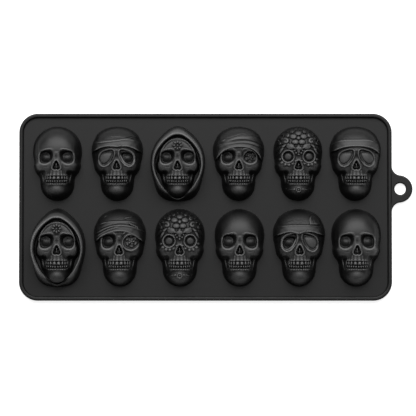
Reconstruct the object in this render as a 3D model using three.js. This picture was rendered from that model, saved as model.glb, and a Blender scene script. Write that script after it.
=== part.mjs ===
// A silicone mould for twelve small skulls, moulded in one piece.
// It lies on its flat mouth face with the skulls standing up, as it is stored and dried.
// Millimetres, +Z up. The origin is the middle of the tray on the mouth face,
// +X runs along the tray to the hanging tab, and +Y to the tops of the heads.
import * as THREE from "three";

// The twelve heads. The lower row is a little larger than the upper one.
const HEAD_WIDTH = 28.4;
const HEAD_HEIGHT = 43.4;
const WRAPPED_HEAD_WIDTH = 29.7;
const HOOD_WIDTH = 31.8;
const HOOD_HEIGHT = 44;
const CUP_HEIGHT = 13;
const CUP_WALL = 2;
const LOWER_ROW_WIDER = 1.015;
const LOWER_ROW_TALLER = 1.04;

// The tray that joins them
const SHEET_THICKNESS = 2;
const CUP_GAP = 2.9;
const ROW_GAP = 4.5;
const SIDE_MARGIN = 3.99;
const TOP_MARGIN = 7.35;
const BOTTOM_MARGIN = 8.18;
const CORNER_RADIUS = 11;
const RIM_WIDTH = 2.6;
const RIM_HEIGHT = 1.9;

// The tab that the mould hangs by
const TAB_RADIUS = 7.95;
const TAB_REACH = 12.05;
const TAB_OFFSET = 10.55;
const TAB_FILLET = 5.5;
const TAB_HOLE_RADIUS = 3.35;
const TAB_HOLE_SHIFT = 0.85;

// How finely the forms are faceted. The lines of the grid over a face run where it changes most,
// as shares of a head's half width, and of its half height from the chin to the crown.
const HALF_COLUMNS = [0.106, 0.22, 0.326, 0.58, 0.695, 0.837, 1];
const FACE_COLUMNS = [...HALF_COLUMNS.map((share) => -share).reverse(), 0, ...HALF_COLUMNS];
const FACE_ROWS = [
  -1, -0.89, -0.775, -0.675, -0.583, -0.523, -0.472, -0.421, -0.351, -0.259, -0.185, -0.129,
  -0.046, 0.028, 0.093, 0.232, 0.301, 0.38, 0.54, 0.755, 1,
];
const LOOP_STEPS = 180;
const CORNER_STEPS = 8;
const HOLE_STEPS = 28;
const ARC_STEPS = 10;

const COLUMNS = 6;
const PITCH = HOOD_WIDTH + CUP_GAP;
const LOWER_HEAD_HEIGHT = HEAD_HEIGHT * LOWER_ROW_TALLER;
const TRAY_LENGTH = COLUMNS * PITCH + 2 * SIDE_MARGIN;
const TRAY_WIDTH = HEAD_HEIGHT + LOWER_HEAD_HEIGHT + ROW_GAP + TOP_MARGIN + BOTTOM_MARGIN;
const UPPER_ROW_Y = TRAY_WIDTH / 2 - TOP_MARGIN - HEAD_HEIGHT / 2;
const LOWER_ROW_Y = -TRAY_WIDTH / 2 + BOTTOM_MARGIN + LOWER_HEAD_HEIGHT / 2;
const TAB_THICKNESS = SHEET_THICKNESS + RIM_HEIGHT / 2;

const { smoothstep, lerp, clamp } = THREE.MathUtils;

const silicone = (name) =>
  new THREE.MeshStandardMaterial({ name, color: 0x2e2e2e, roughness: 0.5, metalness: 0 });

// Half outlines from the crown down to the chin, as shares of the half width and half height
const BARE_HEAD = [
  [0, 1], [0.309, 0.968], [0.588, 0.875], [0.809, 0.73], [0.951, 0.547], [1, 0.345],
  [0.993, 0.22], [0.965, 0.11], [0.95, 0.02], [0.965, -0.07], [0.93, -0.157], [0.865, -0.25],
  [0.76, -0.34], [0.71, -0.425], [0.695, -0.545], [0.67, -0.667], [0.59, -0.787], [0.43, -0.903],
  [0.22, -0.978], [0, -1],
];
const WRAPPED_HEAD = [
  [0, 1], [0.3, 0.975], [0.58, 0.9], [0.79, 0.78], [0.885, 0.66], [0.955, 0.56], [1.0, 0.42],
  [0.995, 0.24], [0.96, 0.11], [0.925, 0.0], [0.905, -0.08], [0.87, -0.163], [0.79, -0.25],
  [0.695, -0.34], [0.665, -0.43], [0.65, -0.55], [0.625, -0.667], [0.55, -0.787], [0.39, -0.905],
  [0.2, -0.978], [0, -1],
];
const HOOD = [
  [0, 1], [0.19, 0.96], [0.375, 0.878], [0.585, 0.755], [0.763, 0.585], [0.89, 0.375], [0.975, 0.16],
  [1, -0.014], [0.95, -0.22], [0.868, -0.39], [0.8, -0.523], [0.762, -0.64], [0.678, -0.77],
  [0.536, -0.888], [0.309, -0.975], [0, -1],
];
// The hood's rolled edge, and the face that lies deep inside it
const HOOD_ROLL = [
  [0, 0.789], [0.145, 0.757], [0.309, 0.693], [0.492, 0.584], [0.65, 0.452], [0.763, 0.32],
  [0.845, 0.157], [0.868, 0.007], [0.845, -0.125], [0.789, -0.27], [0.719, -0.389], [0.65, -0.52],
  [0.558, -0.634], [0.442, -0.752], [0.309, -0.834], [0.17, -0.9], [0, -0.927],
];
const HOODED_FACE = [
  [0, 0.643], [0.145, 0.616], [0.309, 0.561], [0.467, 0.452], [0.58, 0.32], [0.631, 0.198],
  [0.732, 0.089], [0.751, -0.025], [0.719, -0.189], [0.637, -0.289], [0.558, -0.37], [0.524, -0.502],
  [0.498, -0.634], [0.454, -0.72], [0.372, -0.798], [0.24, -0.884], [0, -0.93],
];

// A soft swelling: 1 in its middle, nothing beyond its radii
function mound(x, y, middleX, middleY, radiusX, radiusY) {
  const r2 = ((x - middleX) / radiusX) ** 2 + ((y - middleY) / radiusY) ** 2;
  return r2 < 1 ? (1 - r2) ** 1.5 : 0;
}

const ridge = (distance, width) => Math.exp(-((distance / width) ** 2));

// The faces are drawn over a head that is a hundred wide, a hundred high and a hundred deep.
// There x and y are counted from a place a little below its middle.
const FACE_DROP = 0.9;

// How far the middle of the face stands out, chin to crown
const PROFILE = [
  [-50, 94], [-40, 99], [-35.5, 99], [-30, 91], [-22.7, 94], [-15, 91.5], [-7, 87],
  [2, 84.5], [9.7, 85.5], [16, 94], [23, 96], [33.5, 99], [50, 99],
];

function profileAt(y) {
  const k = clamp(PROFILE.findIndex(([place]) => place > y), 1, PROFILE.length - 1);
  const [[y0, z0], [y1, z1]] = [PROFILE[k - 1], PROFILE[k]];
  return lerp(z0, z1, clamp((y - y0) / (y1 - y0), 0, 1));
}

function skullFace(x, y) {
  const ax = Math.abs(x);
  let z = profileAt(y) - 0.005 * x * x;
  z -= 0.02 * x * x * smoothstep(-y, 23, 33); // chin, rounded from side to side
  z -= 9 * mound(ax, y, 45, 12, 10, 14); // temple
  z += 6 * smoothstep(ax, 5, 19) * mound(0, y, 0, 3, 1, 13); // the face lies back beside the nose
  z += 8 * ridge(ax - 4, 3) * smoothstep(y, 0, 5) * smoothstep(-y, -17, -12); // bridge of the nose
  z += 13 * mound(ax, y, 32, -4.4, 23, 10.6); // cheekbone
  z -= 18 * smoothstep(ax, 17.5, 27) * smoothstep(-y, 8, 14) * smoothstep(y, -36, -27); // under it
  z -= 9 * mound(ax, y, 28, -14, 8, 6); // hollow beside the muzzle
  z += 9 * ridge(ax - 29, 3) * mound(0, y, 0, -22, 1, 9); // back edge of the lower jaw
  return z;
}

// The two rows of teeth, with the bite between them
function teeth(x, y) {
  const across = 1 - smoothstep(Math.abs(x), 17, 23);
  const rows = smoothstep(y, -28, -25) * smoothstep(-y, 15, 18);
  return across * (8 * rows - 9 * ridge(y + 22.7, 1.2));
}

function openEye(ax, y) {
  const dx = ax - 22.5;
  const share = (Math.abs(dx / 12.8) ** 2.7 + Math.abs((y - 9 + 0.06 * dx) / 7.6) ** 2.7) ** (1 / 2.7);
  const brow = 7 * ridge(y - 18.6 + 0.012 * dx * dx, 1.8) * (1 - smoothstep(dx, 11, 18));
  return brow - 31 * (1 - smoothstep(share, 0.5, 1.08));
}

function noseHole(x, y) {
  const halfWidth = 1.2 + 6.4 * clamp((7 - y) / 10.6, 0, 1);
  const inside = 1 - smoothstep(Math.abs(x), 0.75 * halfWidth, 1.4 * halfWidth);
  return 22 * inside * smoothstep(y, -8.6, -6) * smoothstep(-y, -7.5, -3.5);
}

function goggleEye(ax, y, filled) {
  const dx = ax - 22.9 + 0.35 * (y - 7.6);
  const share = (Math.abs(dx / 15.1) ** 2.6 + Math.abs((y - 7.6) / 10.9) ** 2.6) ** (1 / 2.6);
  return 9 * ridge(share - 1.03, 0.15) - (filled ? 4 : 31) * (1 - smoothstep(share, 0.6, 0.95));
}

function ringedEye(ax, y) {
  const radius = Math.hypot((ax - 21.3) / 3.55, (y - 9) / 2.31);
  const ring = 8 * ridge(radius - 3.55, 0.6) - 17 * (1 - smoothstep(radius, 1.9, 3));
  return ring + 14 * mound(radius, 0, 0, 0, 2.2, 1);
}

function coveredEye(ax, y) {
  const radius = Math.hypot((ax - 23.2) / 15.9, (y - 7.8) / 9.9);
  return 8 * ridge(radius - 1, 0.13) - 6 * (1 - smoothstep(radius, 0.7, 0.9));
}

// Head cloth: it stands off the bone above a curved edge, with a thicker band along that edge
function cloth(x, y, edge, droop, bandHeight) {
  const up = y - (edge - droop * x * x);
  return smoothstep(up, -0.8, 0.8) * (4 + 7 * smoothstep(-up, -bandHeight - 1, 1 - bandHeight));
}

// The raised leaves, petals and roses over a flowered forehead
function flowers(x, y) {
  const ax = Math.abs(x);
  const petals = mound(x, y, 0, 37, 14, 8) + mound(ax, y, 26, 32, 9, 6) + mound(ax, y, 18, 24, 11, 5);
  return 6 * petals + 6 * mound(ax, y, 0, 21, 6, 7);
}

const face = (x, y, left, right) =>
  skullFace(x, y) + teeth(x, y) - noseHole(x, y) + (x < 0 ? left : right)(Math.abs(x), y);
const openLens = (ax, y) => goggleEye(ax, y, false);
const filledLens = (ax, y) => goggleEye(ax, y, true);

const STYLES = {
  plain: { outline: BARE_HEAD, width: HEAD_WIDTH, draw: (x, y) => face(x, y, openEye, openEye) },
  flowers: {
    outline: BARE_HEAD, width: HEAD_WIDTH,
    draw: (x, y) => face(x, y, ringedEye, ringedEye) + flowers(x, y),
  },
  wrap: {
    outline: WRAPPED_HEAD, width: WRAPPED_HEAD_WIDTH,
    draw: (x, y) => face(x, y, openEye, coveredEye) + cloth(x, y, 22, 0.0053, 26),
  },
  band: {
    outline: WRAPPED_HEAD, width: WRAPPED_HEAD_WIDTH,
    draw: (x, y) => face(x, y, filledLens, openLens) + cloth(x, y, 22.5, 0.003, 11),
  },
  cap: {
    outline: WRAPPED_HEAD, width: WRAPPED_HEAD_WIDTH,
    draw: (x, y) => face(x, y, filledLens, filledLens) + cloth(x, y, 22.5, 0.0038, 10),
  },
  knot: {
    outline: WRAPPED_HEAD, width: WRAPPED_HEAD_WIDTH,
    draw: (x, y) => face(x, y, openLens, filledLens) + cloth(x, y, 20, 0.002, 11),
  },
  hood: { outline: HOOD, width: HOOD_WIDTH, draw: (x, y) => face(x, y, openEye, openEye) },
};

// Upper row then lower row, left to right. The shift is how far a cup stands off its column.
const CUPS = [
  { name: "cup_plain_1", style: "plain", row: 0, column: 0, shift: 0.85 },
  { name: "cup_goggles_1", style: "band", row: 0, column: 1, shift: 0.85 },
  { name: "cup_hood_1", style: "hood", row: 0, column: 2, shift: 1.25 },
  { name: "cup_wrap_1", style: "wrap", row: 0, column: 3, shift: 1.85 },
  { name: "cup_flowers_1", style: "flowers", row: 0, column: 4, shift: 1.55 },
  { name: "cup_goggles_2", style: "cap", row: 0, column: 5, shift: 0.1 },
  { name: "cup_hood_2", style: "hood", row: 1, column: 0, shift: 1.1 },
  { name: "cup_wrap_2", style: "wrap", row: 1, column: 1, shift: 2.4 },
  { name: "cup_flowers_2", style: "flowers", row: 1, column: 2, shift: 2.5 },
  { name: "cup_plain_2", style: "plain", row: 1, column: 3, shift: 2.35 },
  { name: "cup_goggles_3", style: "knot", row: 1, column: 4, shift: 2.15 },
  { name: "cup_plain_3", style: "plain", row: 1, column: 5, shift: 0.55 },
];

// A smooth closed loop from half an outline and its mirror image, anticlockwise from the top
function closedLoop(half, halfWidth, halfHeight) {
  const left = half.map(([w, h]) => new THREE.Vector3(-w * halfWidth, h * halfHeight, 0));
  const right = left.slice(1, -1).reverse().map((p) => new THREE.Vector3(-p.x, p.y, 0));
  const loop = new THREE.CatmullRomCurve3([...left, ...right], true, "centripetal");
  return loop.getSpacedPoints(LOOP_STEPS).slice(0, -1);
}

// The same loop, moved in by a distance
function insetLoop(loop, distance) {
  return loop.map((p, i) => {
    const before = loop[(i + loop.length - 1) % loop.length];
    const along = loop[(i + 1) % loop.length].clone().sub(before).normalize();
    return new THREE.Vector3(p.x - along.y * distance, p.y + along.x * distance, 0);
  });
}

// How far a loop is from its middle, towards a place
function reach(loop, x, y) {
  const length = Math.hypot(x, y);
  const [dx, dy] = length > 0 ? [x / length, y / length] : [0, 1];
  for (let i = 0; i < loop.length; i++) {
    const a = loop[i];
    const b = loop[(i + 1) % loop.length];
    const sideA = dx * a.y - dy * a.x;
    const sideB = dx * b.y - dy * b.x;
    if (sideA * sideB > 0 || sideA === sideB) continue;
    const k = sideA / (sideA - sideB);
    const along = dx * lerp(a.x, b.x, k) + dy * lerp(a.y, b.y, k);
    if (along > 0) return along;
  }
  throw new Error("the loop doesn't surround its middle");
}

// Each cup's own sizes and loops
CUPS.forEach((cup) => {
  const wider = cup.row === 1 ? LOWER_ROW_WIDER : 1;
  const taller = cup.row === 1 ? LOWER_ROW_TALLER : 1;
  const { outline, width } = STYLES[cup.style];
  const hooded = outline === HOOD;
  const halfWidth = (width * wider) / 2;
  const halfHeight = ((hooded ? HOOD_HEIGHT : HEAD_HEIGHT) * taller) / 2;
  cup.headWidth = HEAD_WIDTH * wider;
  cup.headHeight = HEAD_HEIGHT * taller;
  cup.outline = closedLoop(outline, halfWidth, halfHeight);
  cup.inside = insetLoop(cup.outline, CUP_WALL);
  if (hooded) {
    cup.roll = closedLoop(HOOD_ROLL, halfWidth, halfHeight);
    cup.face = closedLoop(HOODED_FACE, halfWidth, halfHeight);
  }
});

// A hood runs from the face (0) over its roll (1) to the outline (2)
const HOOD_RINGS = [0.15, 0.6, 1, 1.8];
const HOOD_GAP = 46;
const HOOD_CREST = 99;
const HOOD_SHOULDER = 86;

function hoodReach(cup, part, x, y) {
  const roll = reach(cup.roll, x, y);
  const face = Math.min(reach(cup.face, x, y), 0.93 * roll);
  return part < 1 ? lerp(face, roll, part) : lerp(roll, reach(cup.outline, x, y), part - 1);
}

function hoodDepth(cup, x, y, skull) {
  const radius = Math.hypot(x, y);
  const face = hoodReach(cup, 0, x, y);
  const roll = hoodReach(cup, 1, x, y);
  const side = Math.abs(x) / cup.headWidth;
  const underChin = smoothstep(-y / cup.headHeight, 0.3, 0.43) * (1 - smoothstep(side, 0.1, 0.3));
  const gap = lerp(HOOD_GAP, 75, underChin);
  const crest = lerp(HOOD_CREST, 70, underChin);
  if (radius < face) return Math.max(gap, skull * Math.sqrt(1 - (radius / face) ** 10));
  if (radius < roll) return lerp(gap, crest, smoothstep((radius - face) / (roll - face), 0.5, 1));
  const outward = (radius - roll) / (reach(cup.outline, x, y) - roll);
  const level = lerp(crest, Math.min(crest, HOOD_SHOULDER), smoothstep(outward, 0, 0.4));
  return level * Math.sqrt(Math.max(0, 1 - outward ** 3.4));
}

// Height of a cup's outside over the sheet. The forehead and chin round over far in, the cheeks
// only near the edge.
function outsideHeight(cup, x, y) {
  const share = Math.hypot(x, y) / reach(cup.outline, x, y);
  if (share >= 1) return 0;
  const drawnY = (100 * y) / cup.headHeight + FACE_DROP;
  const skull = Math.max(20, STYLES[cup.style].draw((100 * x) / cup.headWidth, drawnY));
  const power = 4.6 - 2.1 * smoothstep(drawnY, -5, 21) - 1.6 * smoothstep(-drawnY, 26, 38);
  const rounded = skull * Math.sqrt(1 - share ** power);
  const depth = cup.roll ? hoodDepth(cup, x, y, skull) : rounded;
  return (depth * CUP_HEIGHT) / 100;
}

// The cavity is one wall inside the face in every direction, as if a ball were rolled under it.
// A little beyond the ball it stays below the face as well, so no facet comes through.
function cavityHeight(cup, x, y) {
  let ceiling = outsideHeight(cup, x, y) - CUP_WALL;
  for (const share of [0.35, 0.6, 0.8, 0.95, cup.roll ? 1.75 : 1.3]) {
    const drop = CUP_WALL * Math.sqrt(Math.max(0, 1 - share ** 2));
    for (let k = 0; k < 12; k++) {
      const angle = (k * Math.PI) / 6;
      const beside = outsideHeight(
        cup,
        x + share * CUP_WALL * Math.cos(angle),
        y + share * CUP_WALL * Math.sin(angle),
      );
      if (beside > 0 || share < 1) ceiling = Math.min(ceiling, beside - drop);
    }
  }
  return Math.max(ceiling, CUP_WALL / 4);
}

// A grid of places over a head. Its border lies on a loop, and is listed anticlockwise.
function fittedGrid(cup, columns, rows, reachTowards) {
  const places = rows.flatMap((v) =>
    columns.map((u) => {
      const [discX, discY] = [u * Math.sqrt(1 - (v * v) / 2), v * Math.sqrt(1 - (u * u) / 2)];
      const [x, y] = [(discX * cup.headWidth) / 2, (discY * cup.headHeight) / 2];
      const share = Math.hypot(discX, discY);
      const stretch = share > 0 ? (reachTowards(x, y) * share) / Math.hypot(x, y) : 1;
      const fitted = 1 + (stretch - 1) * share ** 2;
      return { x: x * fitted, y: y * fitted };
    }),
  );
  const [wide, high] = [columns.length, rows.length];
  const border = [];
  for (let i = 0; i < wide - 1; i++) border.push(i);
  for (let j = 0; j < high - 1; j++) border.push(j * wide + wide - 1);
  for (let i = wide - 1; i > 0; i--) border.push((high - 1) * wide + i);
  for (let j = high - 1; j > 0; j--) border.push(j * wide);
  const faces = [];
  for (let j = 0; j < high - 1; j++) {
    for (let i = 0; i < wide - 1; i++) {
      const a = j * wide + i;
      const [b, c, d] = [a + 1, a + wide + 1, a + wide];
      // the cut between corners leans the same way on both sides of the face
      if (i < (wide - 1) / 2) faces.push(a, b, c, a, c, d);
      else faces.push(a, b, d, b, c, d);
    }
  }
  return { places, border, faces };
}

const everySecond = (list) => list.filter((_, i) => i % 2 === 0);

// The cavity's grid is half as fine as the face's, and its border is the cup's mouth
CUPS.forEach((cup) => {
  const inside = (x, y) => reach(cup.inside, x, y);
  cup.cavity = fittedGrid(cup, everySecond(FACE_COLUMNS), everySecond(FACE_ROWS), inside);
  cup.mouth = cup.cavity.border.map((i) => cup.cavity.places[i]);
});

// A cup is a thin shell: the skull outside, its cavity inside, open at the bottom.
const GRID_EDGE = 0.97;

function cupMesh(cup) {
  const positions = [];
  const faces = [];
  const add = (x, y, z) => positions.push(x, y, z) / 3 - 1;
  const gridEdge = (x, y) =>
    cup.roll ? hoodReach(cup, 0, x, y) * 0.995 : GRID_EDGE * reach(cup.outline, x, y);
  const grid = fittedGrid(cup, FACE_COLUMNS, FACE_ROWS, gridEdge);
  grid.places.forEach(({ x, y }) => add(x, y, outsideHeight(cup, x, y)));
  faces.push(...grid.faces);
  const edge = grid.border.map((i) => grid.places[i]);
  let last = grid.border;
  const ring = (distance, height) => {
    const next = edge.map(({ x, y }) => {
      const grown = distance(x, y) / Math.hypot(x, y);
      return add(x * grown, y * grown, height(x * grown, y * grown));
    });
    next.forEach((b, k) => {
      const after = (k + 1) % next.length;
      faces.push(last[k], b, next[after], last[k], next[after], last[after]);
    });
    last = next;
  };
  const onTop = (x, y) => outsideHeight(cup, x, y);
  if (cup.roll) HOOD_RINGS.forEach((part) => ring((x, y) => hoodReach(cup, part, x, y), onTop));
  ring((x, y) => reach(cup.outline, x, y), () => 0);
  // the flat foot between the outline and the mouth, then the cavity
  const start = positions.length / 3;
  const mouth = cup.cavity.border.map((i) => start + i);
  mouth.forEach((inner, k) => {
    const [a, b, c] = [last[2 * k], last[2 * k + 1], last[(2 * k + 2) % last.length]];
    const after = mouth[(k + 1) % mouth.length];
    faces.push(a, inner, b, b, inner, after, b, after, c);
  });
  const onBorder = new Set(cup.cavity.border);
  cup.cavity.places.forEach(({ x, y }, i) => add(x, y, onBorder.has(i) ? 0 : cavityHeight(cup, x, y)));
  for (let i = 0; i < cup.cavity.faces.length; i += 3) {
    const [a, b, c] = cup.cavity.faces.slice(i, i + 3);
    faces.push(start + a, start + c, start + b);
  }
  const geometry = new THREE.BufferGeometry();
  geometry.setAttribute("position", new THREE.Float32BufferAttribute(positions, 3));
  geometry.setIndex(faces);
  const mesh = new THREE.Mesh(geometry, silicone("silicone"));
  mesh.name = cup.name;
  mesh.position.copy(cupPlace(cup));
  mesh.position.z = SHEET_THICKNESS;
  return mesh;
}

const cupPlace = (cup) =>
  new THREE.Vector3(
    (cup.column - (COLUMNS - 1) / 2) * PITCH + cup.shift,
    cup.row === 0 ? UPPER_ROW_Y : LOWER_ROW_Y,
    0,
  );

// The tray's rounded outline, set in from the edge, with square-on directions for the rim
function trayOutline(inset) {
  const points = [];
  for (let corner = 0; corner < 4; corner++) {
    const sideX = corner === 0 || corner === 3 ? 1 : -1;
    const sideY = corner < 2 ? 1 : -1;
    for (let i = 0; i <= CORNER_STEPS; i++) {
      const angle = ((corner + i / CORNER_STEPS) * Math.PI) / 2;
      const radius = CORNER_RADIUS - inset;
      points.push(
        new THREE.Vector2(
          sideX * (TRAY_LENGTH / 2 - CORNER_RADIUS) + radius * Math.cos(angle),
          sideY * (TRAY_WIDTH / 2 - CORNER_RADIUS) + radius * Math.sin(angle),
        ),
      );
    }
  }
  return points;
}

// The sheet has one mouth under each cup, flush with the cavity's wall
function sheetMesh() {
  const shape = new THREE.Shape(trayOutline(0));
  CUPS.forEach((cup) => {
    const place = cupPlace(cup);
    const mouth = cup.mouth.map(({ x, y }) => new THREE.Vector2(place.x + x, place.y + y));
    shape.holes.push(new THREE.Path(mouth));
  });
  const geometry = new THREE.ExtrudeGeometry(shape, { depth: SHEET_THICKNESS, bevelEnabled: false });
  const mesh = new THREE.Mesh(geometry, silicone("silicone"));
  mesh.name = "tray_sheet";
  return mesh;
}

// A rounded bead along the edge keeps the thin sheet from flopping
function rimMesh() {
  const section = [
    [0, 0], [0, 0.5], [0.18, 0.86], [0.5, 1], [0.82, 0.86], [0.97, 0.5], [1, 0],
  ];
  const rings = section.map(([inward, up]) =>
    trayOutline(inward * RIM_WIDTH).map((p) => ({ x: p.x, y: p.y, z: up * RIM_HEIGHT })),
  );
  const mesh = new THREE.Mesh(closedBand(rings), silicone("silicone"));
  mesh.name = "rim_bead";
  mesh.position.z = SHEET_THICKNESS;
  return mesh;
}

// Rings that close on themselves both ways, as a bead round a tray does
function closedBand(rings) {
  const count = rings[0].length;
  const positions = rings.flat().flatMap((p) => [p.x, p.y, p.z]);
  const faces = [];
  rings.forEach((ring, i) => {
    const [a, b] = [i * count, ((i + 1) % rings.length) * count];
    for (let k = 0; k < count; k++) {
      const next = (k + 1) % count;
      faces.push(a + k, a + next, b + next, a + k, b + next, b + k);
    }
  });
  const geometry = new THREE.BufferGeometry();
  geometry.setAttribute("position", new THREE.Float32BufferAttribute(positions, 3));
  geometry.setIndex(faces);
  return geometry;
}

// A round lobe with a hole, faired into the tray's end by two hollow fillets
function tabMesh() {
  const edge = TRAY_LENGTH / 2;
  const centreX = edge + TAB_REACH - TAB_RADIUS;
  const filletX = edge + TAB_FILLET;
  const rise = Math.sqrt((TAB_RADIUS + TAB_FILLET) ** 2 - (filletX - centreX) ** 2);
  const meets = Math.atan2(rise, filletX - centreX);
  const shape = new THREE.Shape();
  shape.moveTo(edge, TAB_OFFSET - rise);
  shape.absarc(filletX, TAB_OFFSET - rise, TAB_FILLET, Math.PI, Math.PI - meets, true);
  shape.absarc(centreX, TAB_OFFSET, TAB_RADIUS, -meets, meets, false);
  shape.absarc(filletX, TAB_OFFSET + rise, TAB_FILLET, Math.PI + meets, Math.PI, true);
  const outline = shape.getPoints(ARC_STEPS);
  const tab = new THREE.Shape(outline);
  const hole = new THREE.Path();
  hole.absarc(centreX + TAB_HOLE_SHIFT, TAB_OFFSET, TAB_HOLE_RADIUS, 0, 2 * Math.PI, false);
  tab.holes.push(new THREE.Path(hole.getPoints(HOLE_STEPS)));
  const geometry = new THREE.ExtrudeGeometry(tab, { depth: TAB_THICKNESS, bevelEnabled: false });
  const mesh = new THREE.Mesh(geometry, silicone("silicone"));
  mesh.name = "hanging_tab";
  return mesh;
}

const mould = new THREE.Group();
mould.add(sheetMesh(), rimMesh(), tabMesh(), ...CUPS.map(cupMesh));

export default mould;
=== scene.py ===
import math

import bmesh
import bpy
import numpy as np
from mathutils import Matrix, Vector, geometry


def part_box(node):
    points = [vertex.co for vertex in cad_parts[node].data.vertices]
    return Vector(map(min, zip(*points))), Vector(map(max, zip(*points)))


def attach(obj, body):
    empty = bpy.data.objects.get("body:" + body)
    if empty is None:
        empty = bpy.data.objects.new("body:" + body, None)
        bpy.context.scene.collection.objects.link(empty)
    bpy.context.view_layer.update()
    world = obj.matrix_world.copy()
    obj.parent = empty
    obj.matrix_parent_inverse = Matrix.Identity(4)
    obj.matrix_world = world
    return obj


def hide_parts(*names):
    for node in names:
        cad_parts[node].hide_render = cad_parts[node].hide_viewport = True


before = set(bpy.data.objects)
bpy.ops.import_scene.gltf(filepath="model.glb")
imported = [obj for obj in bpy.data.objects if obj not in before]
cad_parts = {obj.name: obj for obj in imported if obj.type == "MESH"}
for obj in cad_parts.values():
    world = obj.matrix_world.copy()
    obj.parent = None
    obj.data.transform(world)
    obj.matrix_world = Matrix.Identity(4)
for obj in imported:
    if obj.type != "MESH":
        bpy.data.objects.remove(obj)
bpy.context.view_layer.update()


# The camera
# A long lens looks almost straight down on the tray, as in a catalogue picture.
# It leans a little, so the lower edge is nearer and the faces tip towards the top.
PICTURE_WIDTH = 0.2414
CAMERA_DISTANCE = 1.25
CAMERA_LEAN = math.radians(1.85)
SENSOR_WIDTH_MM = 36
FARTHEST_SEEN = 10
AIM = Vector((0.00145, -0.0005, 0.002))


def new_object(name, data):
    made = bpy.data.objects.new(name, data)
    bpy.context.collection.objects.link(made)
    return made


camera_data = bpy.data.cameras.new("camera")
camera_data.sensor_width = SENSOR_WIDTH_MM
camera_data.lens = SENSOR_WIDTH_MM * CAMERA_DISTANCE / PICTURE_WIDTH
camera_data.clip_end = FARTHEST_SEEN
camera = new_object("camera", camera_data)
camera.location = AIM + CAMERA_DISTANCE * Vector((0, -math.sin(CAMERA_LEAN), math.cos(CAMERA_LEAN)))
camera.rotation_euler = (CAMERA_LEAN, 0, 0)
bpy.context.scene.camera = camera


# The silicone
# Black food-grade silicone rubber, pressed in a heated steel tool. The tool's fine blasted surface
# gives it a soft satin sheen. On the cups, raised edges get a painted highlight and hollows get painted
# shade.
# The cups' painted light: black for painted shade, then the rubber's own colour, then pale for a painted
# highlight
SILICONE_PAINTED_SHADE = 0x0A0A0A
SILICONE_MIDDLE = 0x1B1B1B
SILICONE_PAINTED_HIGHLIGHT = 0x6A6A6A
SILICONE_IOR = 1.42
SILICONE_ROUGHNESS = 0.44
# The rubber is clouded, in patches of this size that are a little duller or glossier
CLOUDING_SIZE = 0.02
CLOUDING_SPREAD = 0.04
# The blasted tool's grain, drawn coarse enough to show
BLAST_GRAIN = 0.0004
BLAST_DEPTH = 0.00003


def linear(srgb_hex):
    channels = [((srgb_hex >> shift) & 255) / 255 for shift in (16, 8, 0)]
    return [c / 12.92 if c <= 0.04045 else ((c + 0.055) / 1.055) ** 2.4 for c in channels] + [1]


def add_node(material, kind, links=None, **settings):
    # Sets each named input or property, and joins inputs to (node, output) pairs
    node = material.node_tree.nodes.new("ShaderNode" + kind)
    for key, value in settings.items():
        if hasattr(node, key):
            setattr(node, key, value)
        else:
            node.inputs[key.replace("_", " ")].default_value = value
    for socket, (source, output) in (links or {}).items():
        material.node_tree.links.new(source.outputs[output], node.inputs[socket])
    return node


def pressed_silicone(name, painted_light=False):
    material = bpy.data.materials.new(name)
    material.use_nodes = True
    material.node_tree.nodes.clear()
    place = add_node(material, "TexCoord")
    grain = add_node(material, "TexNoise", {"Vector": (place, "Object")},
                     Scale=1 / BLAST_GRAIN, Detail=3.0, Roughness=0.6)
    clouding = add_node(material, "TexNoise", {"Vector": (place, "Object")},
                        Scale=1 / CLOUDING_SIZE, Detail=2.0, Roughness=0.5)
    sheen = add_node(material, "MapRange", {"Value": (clouding, "Fac")},
                     To_Min=SILICONE_ROUGHNESS - CLOUDING_SPREAD,
                     To_Max=SILICONE_ROUGHNESS + CLOUDING_SPREAD)
    bump = add_node(material, "Bump", {"Height": (grain, "Fac")},
                    Strength=0.5, Distance=BLAST_DEPTH)
    surface = add_node(material, "BsdfPrincipled",
                       {"Roughness": (sheen, "Result"), "Normal": (bump, "Normal")},
                       IOR=SILICONE_IOR, Base_Color=linear(SILICONE_MIDDLE))
    if painted_light:
        # painted light: the mesh holds 0 in creases and low on the walls, about 0.5 on flats and 1 on
        # raised edges;
        # the ramp paints shade black at 0 and a highlight pale at 1
        raised = add_node(material, "Attribute", attribute_name="raised")
        tone = add_node(material, "ValToRGB", {"Fac": (raised, "Fac")})
        tone.color_ramp.elements[0].color = linear(SILICONE_PAINTED_SHADE)
        tone.color_ramp.elements[1].color = linear(SILICONE_PAINTED_HIGHLIGHT)
        tone.color_ramp.elements.new(0.5).color = linear(SILICONE_MIDDLE)
        material.node_tree.links.new(tone.outputs["Color"], surface.inputs["Base Color"])
    add_node(material, "OutputMaterial", {"Surface": (surface, "BSDF")})
    return material


silicone = pressed_silicone("black_silicone_pressed")
# The cups get painted shade in their hollows and a painted highlight on their raised edges
painted_light_silicone = pressed_silicone("black_silicone_painted_light", painted_light=True)


# The plain skull cups
# Three of the twelve cups are bare skulls. Each cup is a thin shell that stands on the sheet,
# pressed with it in one shot: the face outside, and the cavity that shapes the cast inside.
MM = 0.001
WALL = 2.0
FOOT_FILLET = 0.15

# The heads are drawn once, in millimetres, and each row stretches them to its own size.
# The drawing is counted from the middle of the face, a little below the middle of the head.
DRAWN_WIDTH = 28.2
DRAWN_HEIGHT = 43.2
FACE_DROP = 0.38


def node_box(node):
    low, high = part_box(node)
    return np.array(low) / MM, np.array(high) / MM


SHEET_TOP = node_box("tray_sheet")[1][2]


def ramp(value, low, high):
    # Rises smoothly from 0 to 1 between low and high
    t = np.clip((value - low) / (high - low), 0, 1)
    return t * t * (3 - 2 * t)


def fall(value, low, high):
    # Falls smoothly from 1 to 0 between low and high
    return 1 - ramp(value, low, high)


def mix(a, b, share):
    return a + (b - a) * share


def line(distance, width):
    # A raised line: 1 on the line itself, fading away over about its width
    return np.exp(-((distance / width) ** 2))


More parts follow.
